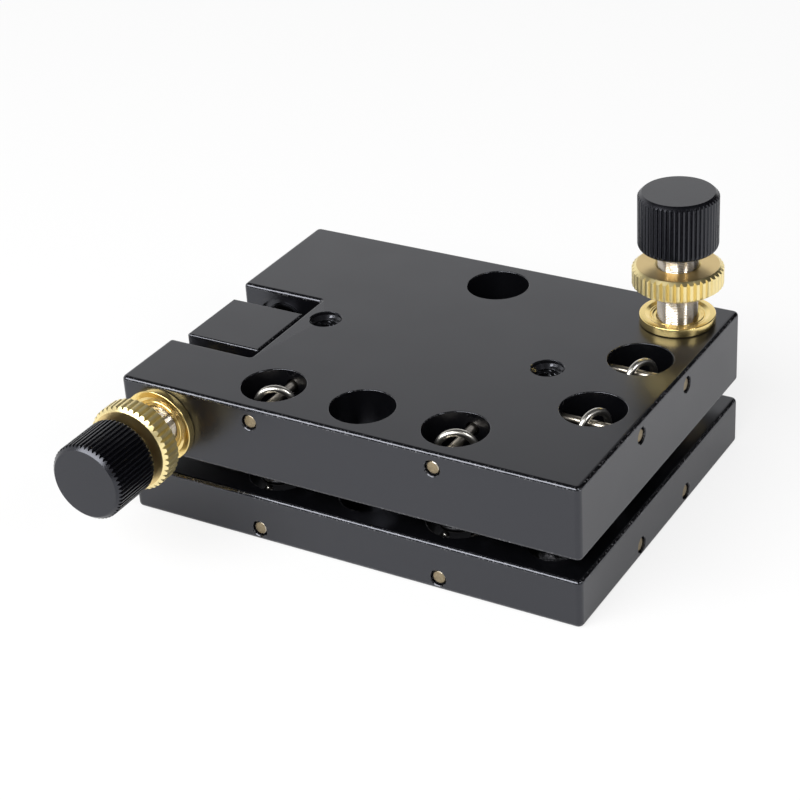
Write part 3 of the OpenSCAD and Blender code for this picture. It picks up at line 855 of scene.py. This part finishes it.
# %% Sink the top plate's holes and finish it
GUIDE_SINK_D = 8.7
GUIDE_SINK_DEPTH = 1.0
GUIDE_FIT = 0.1
GUIDE_TRAVEL = 1.5
GUIDE_SIDES = 72
TAP_SINK_D = 4.6
TAP_SINK_DEPTH = 0.5
TAP_BREAK = 0.1
TAP_REACH = 0.05

guide_low, guide_high = box_of("guide_pin")
guide_r = (guide_high.x - guide_low.x + GUIDE_FIT) / 2
guide_depth = guide_high.y - slot_y1 + GUIDE_TRAVEL
guide_cutter = revolve([(0, -OVER), (GUIDE_SINK_D / 2, -OVER), (GUIDE_SINK_D / 2, GUIDE_SINK_DEPTH),
                        (guide_r, GUIDE_SINK_DEPTH), (guide_r, guide_depth), (0, guide_depth)], GUIDE_SIDES)
front_bore = placed(drill(BUSH_BODY_D, -SLOT_FRONT_WALL, 0), ON_HORIZONTAL)
sink_r = TAP_SINK_D / 2
cone_end = -TAP_SINK_DEPTH - (sink_r - tap_core_r)
sink = revolve([(0, cone_end), (tap_core_r, cone_end), (sink_r, -TAP_SINK_DEPTH), (sink_r, -TAP_BREAK),
                (sink_r + TAP_BREAK, 0), (sink_r + TAP_BREAK, OVER), (0, OVER)], POCKET_SIDES)
cut(top_plate, [placed(guide_cutter, on_drive(slot_y1)), front_bore] + both_sides(sink, tap_x, 0, TOP_HIGH.z)
    + [pin_cutter(node) for node in TOP_PINS])
smooth(top_plate)
stand_for(top_plate, "top_plate", PLATE_BLACK, THREAD_BLACK)


def is_tapped(face):
    return math.hypot(abs(face.center.x / MM) - tap_x, face.center.y / MM) < sink_r + TAP_REACH


second_finish(top_plate, is_tapped)

# %% [markdown]
# ## Wedge block
# The block slides in the slot, pushed by the horizontal screw, and its slanted ramp rides on the post
# below. Its side view is one outline. All its edges are broken, here with a bevel, because none of them
# runs round a curve.

# %% Outline of the wedge block
NOTCH_TOP_Z = 13.3
BACK_LIFT = 0.2
RAMP_GAP = 0.1
BACK_WALL_BALL_R = 2.8
BACK_WALL_ROOM = 2.5

block_low, block_high = box_of("wedge_block")
ball_low, ball_high = box_of("wedge_post")
ball = (ball_low + ball_high) / 2
ball_r = (ball_high.x - ball_low.x) / 2
ball_z = ball_high.z - ball_r
ramp_y0 = ball.y + block_low.z - (ball_z + (ball_r + RAMP_GAP) * math.sqrt(2))
ramp_y1 = ramp_y0 + NOTCH_TOP_Z - block_low.z
back_sum = ball.y + ball_z + (BACK_WALL_BALL_R * math.sqrt(2) + BACK_WALL_ROOM)
back_z = TOP_LOW.z + BACK_LIFT
side_view = [(block_low.y, block_low.z), (ramp_y0, block_low.z), (ramp_y1, NOTCH_TOP_Z),
             (back_sum - NOTCH_TOP_Z, NOTCH_TOP_Z), (back_sum - back_z, back_z),
             (block_high.y, back_z), (block_high.y, block_high.z), (block_low.y, block_high.z)]
print("ramp runs from", [round(v, 2) for v in side_view[1]], "to", [round(v, 2) for v in side_view[2]])

# %% Cut the wedge block
BLOCK_EDGE = 0.3
BLOCK_PAD_D = 4.6
PRESS_FIT = 0.01
SHARP_BEND = 20
PAD_SIDES = 48

count = len(side_view)
block_points = [(x, y, z) for x in (block_low.x, block_high.x) for y, z in side_view]
block_faces = [list(range(count))[::-1], list(range(count, 2 * count))]
block_faces += [[k, (k + 1) % count, count + (k + 1) % count, count + k] for k in range(count)]
wedge_block = new_object("wedge_block_cut", (block_points, block_faces))
bevel = wedge_block.modifiers.new("broken_edges", "BEVEL")
bevel.width = BLOCK_EDGE * MM
bevel.segments = BREAK_STEPS
bevel.limit_method = "ANGLE"
bevel.angle_limit = math.radians(SHARP_BEND)
apply_modifiers(wedge_block)
pad_depth = box_of("wedge_pad")[1].y - block_low.y
guide_seat = block_high.y - guide_low.y
pad_r = BLOCK_PAD_D / 2
pad_hole = revolve([(0, -OVER), (pad_r + FINE_BREAK, -OVER), (pad_r + FINE_BREAK, 0), (pad_r, FINE_BREAK),
                    (pad_r, pad_depth), (0, pad_depth)], PAD_SIDES)
pin_r = (guide_high.x - guide_low.x) / 2 + PRESS_FIT
guide_hole = revolve([(0, 0), (pin_r, 0), (pin_r, guide_seat - FINE_BREAK),
                      (pin_r + FINE_BREAK, guide_seat), (pin_r + FINE_BREAK, guide_seat + OVER),
                      (0, guide_seat + OVER)], POCKET_SIDES)
cut(wedge_block, [placed(pad_hole, on_drive(block_low.y)), placed(guide_hole, on_drive(guide_low.y))])
smooth(wedge_block)
stand_for(wedge_block, "wedge_block", BLOCK_BLACK)

# %% [markdown]
# ## Flanged bushes
# The bushes are turned from brass bar. The flange's face is dished, with a step round the screw, so from
# above it shows as bright and dark rings. Each profile corner gets a small rounding, because it is the
# rounding that catches the light.


# %% Round off a profile
def fillet(corners, steps=4):
    """Line through (r, z, rounding) corners, each corner rounded off where it can be."""
    line = []
    for i, (r, z, rounding) in enumerate(corners):
        here = Vector((r, z))
        if i in (0, len(corners) - 1) or not rounding:
            line.append((r, z))
            continue
        to_last = (Vector(corners[i - 1][:2]) - here).normalized()
        to_next = (Vector(corners[i + 1][:2]) - here).normalized()
        half = to_last.angle(to_next) / 2
        reach = rounding / math.tan(half)
        centre = here + (to_last + to_next).normalized() * (rounding / math.sin(half))
        start = here + to_last * reach - centre
        end = here + to_next * reach - centre
        for k in range(steps + 1):
            spoke = start.lerp(end, k / steps).normalized() * rounding
            line.append(tuple(centre + spoke))
    return line


print("one rounded corner has", len(fillet([(0, 0, 0), (1, 0, 0.1), (1, 1, 0)])) - 2, "points")

# %% Turn the bushes
FLANGE_RIM_W = 0.85
DISH_DEPTH = 0.25
DISH_STEP = 0.5
DISH_STEP_DEPTH = 0.2
RING_GROOVE = 0.12
SCREW_ROOM = 0.05
BORE_BREAK = 0.12
BUSH_SIDES = 128
TURNED_ANGLE = 40


def bush(place, node):
    low, high = local_box(node, place)
    r = high.x
    bore_r = local_box(node.replace("bush", "screw"), place)[1].x + SCREW_ROOM
    body_r = BUSH_BODY_D / 2
    rim_r = r - FLANGE_RIM_W
    step_r = rim_r - DISH_STEP
    dish_z = high.z - DISH_DEPTH
    floor_z = dish_z - DISH_STEP_DEPTH
    corners = [(bore_r, low.z, 0), (body_r, low.z, 0.2), (body_r, 0, 0), (r, 0, 0.2),
               (r, high.z, 0.14), (rim_r, high.z, 0.08), (step_r, dish_z, 0.1),
               (step_r - DISH_STEP / 3, dish_z, 0.04),
               (step_r - DISH_STEP / 2, dish_z - RING_GROOVE, 0.03),
               (step_r - DISH_STEP * 0.7, dish_z, 0.04),
               (step_r - DISH_STEP, dish_z, 0.08), (step_r - DISH_STEP * 1.3, floor_z, 0.05),
               (bore_r + BORE_BREAK, floor_z, 0.05), (bore_r, floor_z - BORE_BREAK, 0)]
    made = new_object(node + "_turned", revolve(fillet(corners), BUSH_SIDES, closed=True), place)
    smooth(made, TURNED_ANGLE)
    stand_for(made, node, BRASS)


bush(ON_VERTICAL, "vertical_bush")
bush(ON_HORIZONTAL, "horizontal_bush")

# %% [markdown]
# ## Adjuster screws
# Fine adjusters have a thread of a quarter of a millimetre a turn. It runs from the ball tip up through
# the lock nut to a short plain neck under the knob. The flanks of so fine a thread throw back the room
# above and the brass below by turns, which is why the screw looks like steel between two brass faces.

# %% Turn the screws
SCREW_PITCH = 0.25
THREAD_DEPTH = 0.07
NECK_LEN = 0.5
ROWS_PER_PITCH = 6
SPIGOT_R = 2.0
SPIGOT_LEN = 5.5
SCREW_LEAD = 0.25
TIP_ROOM = 0.03
CUP_STEPS = 24
THREAD_ANGLE = 45


def screw(place, prefix):
    node = prefix + "_screw"
    low, high = local_box(node, place)
    r = high.x
    shoulder = local_box(prefix + "_knob", place)[0].z
    thread_end = shoulder - NECK_LEN
    count = int((thread_end - low.z) / SCREW_PITCH * ROWS_PER_PITCH)
    rows = [(r - SCREW_LEAD, low.z, 0), (r, low.z + SCREW_LEAD, 0)]
    rows += [(r, low.z + SCREW_LEAD + (thread_end - low.z - SCREW_LEAD) * k / count, THREAD_DEPTH)
             for k in range(1, count)]
    rows += [(r - THREAD_DEPTH, thread_end, 0), (r - THREAD_DEPTH, shoulder, 0),
             (SPIGOT_R, shoulder, 0), (SPIGOT_R, shoulder + SPIGOT_LEN, 0)]
    made = new_object(node + "_turned", threaded(rows, SCREW_PITCH), place)
    tip = local_box(prefix + "_tip_ball", place)
    tip_r = tip[1].x + TIP_ROOM
    tip_z = (tip[0].z + tip[1].z) / 2
    cup = revolve([(tip_r * math.sin(2 * a), tip_z - tip_r * math.cos(2 * a)) for a in quarter(CUP_STEPS)],
                  PAD_SIDES)
    cut(made, [placed(cup, place)])
    smooth(made, THREAD_ANGLE)
    stand_for(made, node, SCREW_STEEL)


# %% [markdown]
# The cup for the ball is cut in the frame's coordinates, so the screw has to stand in its place first.

# %% Make both screws
screw(ON_VERTICAL, "vertical")
screw(ON_HORIZONTAL, "horizontal")

# %% [markdown]
# ## Knurled nuts and fluted knobs
# A knurl cut along the axis is a row of grooves. Where a groove meets the chamfer it ends in a scallop,
# and those scallops are what sparkle in the photograph. A boolean would give them too, but slowly. Here
# each column of points stops exactly where its own radius meets the chamfer, which gives clean scallops.
# The number of teeth was measured on the upright nut in the photograph.


# %% Shape with teeth
def toothed(inner_low, inner_high, columns, r_low, r_high, low_z, high_z, end_steps=6):
    """Rings for a turned body with grooves. Each column (angle, radius) runs out along two end curves."""
    rings = [[polar(r, a, z) for a, _ in columns] for r, z in inner_low]
    outwards = [k / end_steps for k in range(end_steps + 1)]
    for r_end, z_of, shares in ((r_low, low_z, outwards), (r_high, high_z, outwards[::-1])):
        for share in shares:
            spots = [(a, r_end + (cut_r - r_end) * share) for a, cut_r in columns]
            rings.append([polar(r, a, z_of(r)) for a, r in spots])
    return rings + [[polar(r, a, z) for a, _ in columns] for r, z in inner_high]


def columns_of(teeth, r, depth, tooth):
    """Angle and radius of every column. A tooth is a row of (share of the turn, share of the depth)."""
    return [(2 * math.pi * (i + share) / teeth, r - depth * d) for i in range(teeth) for share, d in tooth]


print("two plain teeth take", len(columns_of(2, 1, 0.1, [(0, 0), (0.5, 1)])), "columns")

# %% Cut the lock nuts
NUT_TEETH = 42
NUT_TOOTH_DEPTH = 0.40
NUT_CHAMFER = 0.62
NUT_CHAMFER_SLOPE = 0.75
NUT_MOUTH = 0.3
FACE_STEP = 0.04
KNURL_ANGLE = 38
SHADED_FACE_FROM = 0.9
NUT_TOOTH = [(0.02, 0.04), (0.08, 0), (0.42, 0), (0.48, 0.04), (0.60, 0.48), (0.72, 0.95), (0.75, 1),
             (0.78, 0.95), (0.90, 0.48)]


def lock_nut(place, node):
    low, high = local_box(node, place)
    r = high.x
    bore_r = local_box(node.replace("lock_nut", "screw"), place)[1].x + SCREW_ROOM
    columns = columns_of(NUT_TEETH, r, NUT_TOOTH_DEPTH, NUT_TOOTH)
    r_start = r - NUT_CHAMFER

    def drop(q):
        return NUT_CHAMFER_SLOPE * max(0, q - r_start)

    inner_low = [(bore_r + NUT_MOUTH, low.z), (r_start - FACE_STEP, low.z)]
    inner_high = [(r_start - FACE_STEP, high.z), (bore_r + NUT_MOUTH, high.z),
                  (bore_r, high.z - NUT_MOUTH), (bore_r, low.z + NUT_MOUTH)]
    rings = toothed(inner_low, inner_high, columns, r_start, r_start,
                    lambda q: low.z + drop(q), lambda q: high.z - drop(q))
    made = new_object(node + "_knurled", skin(rings, closed=True, capped=False), place)
    smooth(made, KNURL_ANGLE)
    stand_for(made, node, LIT_NUT_BRASS, SHADED_NUT_FACE_BRASS)
    # The flat end faces take the darker brass, which is painted shade.
    second_finish(made, lambda face: abs(face.normal.z) > SHADED_FACE_FROM)


lock_nut(ON_VERTICAL, "vertical_lock_nut")
lock_nut(ON_HORIZONTAL, "horizontal_lock_nut")

# %% Cut the knobs
KNOB_FLUTES = 54
KNOB_FLUTE_DEPTH = 0.28
KNOB_BEVEL_W = 0.6
KNOB_BEVEL_H = 0.6
KNOB_BEVEL_BEND = 0.2
KNOB_ROUND = 0.9
KNOB_END_STEPS = 10
SPIGOT_ROOM = 0.01
KNOB_FLUTE = [(0.0, 0.05), (0.08, 0), (0.26, 0), (0.34, 0.05), (0.45, 0.55), (0.55, 0.9), (0.65, 1),
              (0.75, 0.9), (0.87, 0.55)]


def knob(place, node):
    low, high = local_box(node, place)
    r = (high.x - low.x) / 2
    columns = columns_of(KNOB_FLUTES, r, KNOB_FLUTE_DEPTH, KNOB_FLUTE)
    r_low, r_high = r - KNOB_ROUND, r - KNOB_BEVEL_W

    def low_z(q):
        lean = min(KNOB_ROUND, max(0, q - r_low))
        return low.z + KNOB_ROUND - math.sqrt(KNOB_ROUND ** 2 - lean ** 2)

    def high_z(q):
        lean = max(0, q - r_high) / KNOB_BEVEL_W
        return high.z - KNOB_BEVEL_H * ((1 - KNOB_BEVEL_BEND) * lean + KNOB_BEVEL_BEND * lean ** 2)

    bore_end = low.z + SPIGOT_LEN
    bore_r = SPIGOT_R + SPIGOT_ROOM
    inner_low = [(SPIGOT_ROOM, bore_end), (bore_r, bore_end), (bore_r, low.z)]
    inner_high = [(r_high - FACE_STEP, high.z), (SPIGOT_ROOM, high.z)]
    rings = toothed(inner_low, inner_high, columns, r_low, r_high, low_z, high_z, KNOB_END_STEPS)
    made = new_object(node + "_fluted", skin(rings), place)
    smooth(made, KNURL_ANGLE)
    stand_for(made, node, KNOB_BLACK)


knob(ON_VERTICAL, "vertical_knob")
knob(ON_HORIZONTAL, "horizontal_knob")

# %% [markdown]
# ## Cross pins
# The springs hang on short pins that are pushed in from the plate's faces. A thicker head holds each one,
# and a thinner shank crosses the spring's hole. They were cropped to length, so their outer ends are
# slightly domed, a little out of square, and duller than their sides.

# %% Crop the cross pins
PIN_DOME = 0.08
PIN_EDGE = 0.24
PIN_SLANT = 0.04
PIN_SHANK_D = 1.3
PIN_HEAD_LEN = 1.6
PIN_TURN_STEP = 2.4
END_FACING = 0.85


def cross_pin(node, number):
    place = pin_place(node)
    low, high = local_box(node, place)
    r = high.x
    line = [(0, low.z), (r * 0.5, low.z + PIN_DOME * 0.25), (r - PIN_EDGE, low.z + PIN_DOME)]
    line += [(r - PIN_EDGE + PIN_EDGE * math.sin(a), low.z + PIN_DOME + PIN_EDGE * (1 - math.cos(a)))
             for a in quarter(BREAK_STEPS)[1:]]
    shank_r = PIN_SHANK_D / 2
    line += [(r, low.z + PIN_HEAD_LEN), (shank_r, low.z + PIN_HEAD_LEN + r - shank_r),
             (shank_r, high.z - PIN_EDGE), (shank_r - PIN_EDGE, high.z), (0, high.z)]
    points, faces = revolve(line, PIN_SIDES)
    turn = number * PIN_TURN_STEP
    slanted = []
    for x, y, z in points:
        near_end = max(0, 1 - (z - low.z) / (PIN_DOME + PIN_EDGE))
        lift = PIN_SLANT * (1 + (x * math.cos(turn) + y * math.sin(turn)) / r) * near_end
        slanted.append((x, y, z + lift))
    made = new_object(node + "_cropped", (slanted, faces), place)
    smooth(made, TURNED_ANGLE)
    stand_for(made, node, PIN_STEEL, PIN_END)
    end_z = (low.z + PIN_DOME + PIN_EDGE) * MM
    second_finish(made, lambda face: abs(face.normal.z) > END_FACING and face.center.z < end_z)


for number, node in enumerate(TOP_PINS + BASE_PINS):
    cross_pin(node, number)

# %% [markdown]
# ## Extension springs
# Each spring is one wire: a coil whose last turns rise into a hook at each end. Its line is worked out
# by a formula and a round tube is swept along it. The hooks end just inside the two outer faces, clear of
# whatever is screwed to the table or stands under the base.

# %% Line of a spring
WIRE_D = 1.05
COIL_R = 2.325
HOOK_R = 2.6
COIL_RISE = 1.22
HOOK_ROOM = 3.1
HOOK_SWEEP = 225
BEND_ANGLE = 50
BEND_RISE = 1.6
COIL_RINGS = 24
BEND_STEPS = 14
HOOK_STEPS = 42
HOOK_COVER = 0.06
FRONT_HOOK_TURN = 26
SIDE_HOOK_TURN = 68


def spring_line(hook_z):
    """Points of the wire, with its hooks in the XZ plane and its middle at the origin."""
    height = 2 * (hook_z - HOOK_ROOM)
    turns = max(3, int(height / COIL_RISE))
    end_z = height / 2 * (1 - 2 * BEND_ANGLE / 360 / turns)
    sweep = 360 * turns - 2 * BEND_ANGLE
    count = turns * COIL_RINGS
    coil = [(BEND_ANGLE + sweep * k / count, end_z * (2 * k / count - 1)) for k in range(count + 1)]
    line = [Vector(polar(COIL_R, math.radians(a), z)) for a, z in coil]
    upper = []
    for k in range(1, BEND_STEPS + 1):
        s = k / BEND_STEPS
        a = math.radians(-BEND_ANGLE * (1 - s) ** 2)
        r = COIL_R + (HOOK_R - COIL_R) * s * s
        upper.append(Vector(polar(r, a, end_z + BEND_RISE * s * s)))
    for k in range(HOOK_STEPS + 1):
        a = math.radians(HOOK_SWEEP * k / HOOK_STEPS)
        upper.append(Vector((HOOK_R * math.cos(a), 0, hook_z + HOOK_R * math.sin(a))))
    lower = [Vector((p.x, -p.y, -p.z)) for p in reversed(upper)]
    return lower + line + upper


print("the wire is", WIRE_D, "mm thick")

# %% Sweep the wire
WIRE_SIDES = 14


def wire(name, line, place, first, last):
    """Tube along part of a line. Its UV map has the distance from the nearer hook's end, and the turn."""
    rings = []
    normal = Vector((0, 1, 0))
    lengths = [0.0]
    for behind, here in zip(line, line[1:]):
        lengths.append(lengths[-1] + (here - behind).length)
    for i, here in enumerate(line):
        along = (line[min(i + 1, len(line) - 1)] - line[max(i - 1, 0)]).normalized()
        normal = (normal - along * normal.dot(along)).normalized()
        side = along.cross(normal)
        if first <= i <= last:
            angles = [2 * math.pi * k / WIRE_SIDES for k in range(WIRE_SIDES)]
            rings.append([here + (normal * math.cos(a) + side * math.sin(a)) * WIRE_D / 2 for a in angles])
    made = new_object(name, skin(rings), place)
    uv = made.data.uv_layers.new(name="wire")
    for face in made.data.polygons:
        spots = [made.data.loops[i].vertex_index for i in face.loop_indices]
        wraps = {p % WIRE_SIDES for p in spots} == {0, WIRE_SIDES - 1}
        for i, p in zip(face.loop_indices, spots):
            turn = WIRE_SIDES if wraps and p % WIRE_SIDES == 0 else p % WIRE_SIDES
            from_start = lengths[first + p // WIRE_SIDES]
            uv.data[i].uv = (min(from_start, lengths[-1] - from_start), turn / WIRE_SIDES)
    return made


# %% [markdown]
# A spring has to reach across two joints: the base turns under the pivot ball, and the ball under the top
# plate. Blend bends a mesh across one joint, so each spring is made in two halves that meet at its middle
# turn.

spring_mid_z = (TOP_HIGH.z + BASE_LOW.z) / 2
hook_z = TOP_HIGH.z - HOOK_COVER - WIRE_D / 2 - HOOK_R - spring_mid_z
line = spring_line(hook_z)
middle = min(range(len(line)), key=lambda i: abs(line[i].z))


def half_spring(name, place, first, last):
    half = wire(name, line, place, first, last)
    half.data.shade_smooth()
    half.data.materials.append(SPRING_WIRE)
    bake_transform(half)
    print(half.name, "has", len(half.data.polygons), "faces")
    return half


for node in SPRINGS:
    centre = middle_of(node)
    turn = math.radians(FRONT_HOOK_TURN if node.startswith("spring_front") else SIDE_HOOK_TURN)
    place = Matrix.Translation((centre.x, centre.y, spring_mid_z)) @ Matrix.Rotation(turn, 4, "Z")
    half_spring(node + "_lower", place, 0, middle)
    upper = half_spring(node + "_upper", place, middle, len(line) - 1)
    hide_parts(node)

# %% [markdown]
# ## Balls, seats and pads
# These are true to shape in the CAD: balls, coned seats, flat pads and the guide pin, hardened and ground.
# They keep their CAD meshes and only need their finish. The guide pin is blackened steel. The pivot ball
# is given the same near black finish as painted shade, for the gap between the plates lies in shade.

# %% Finish the balls, seats and pads
POLISHED = ("vertical_tip_ball", "horizontal_tip_ball")
GROUND = ("base_pivot_seat", "top_pivot_seat", "vertical_pad", "wedge_pad", "wedge_post")
# The guide pin is blackened steel. On the pivot ball this near black finish is painted shade.
BLACKENED_AND_SHADED = ("guide_pin", "pivot_ball")

for names, finish in ((POLISHED, BALL_STEEL), (GROUND, GROUND_STEEL), (BLACKENED_AND_SHADED, BLACK_STEEL_AND_SHADE)):
    for node in names:
        mesh = frame["nodes"][node].data
        mesh.materials.clear()
        mesh.materials.append(finish)
        print(node, "keeps its CAD mesh")
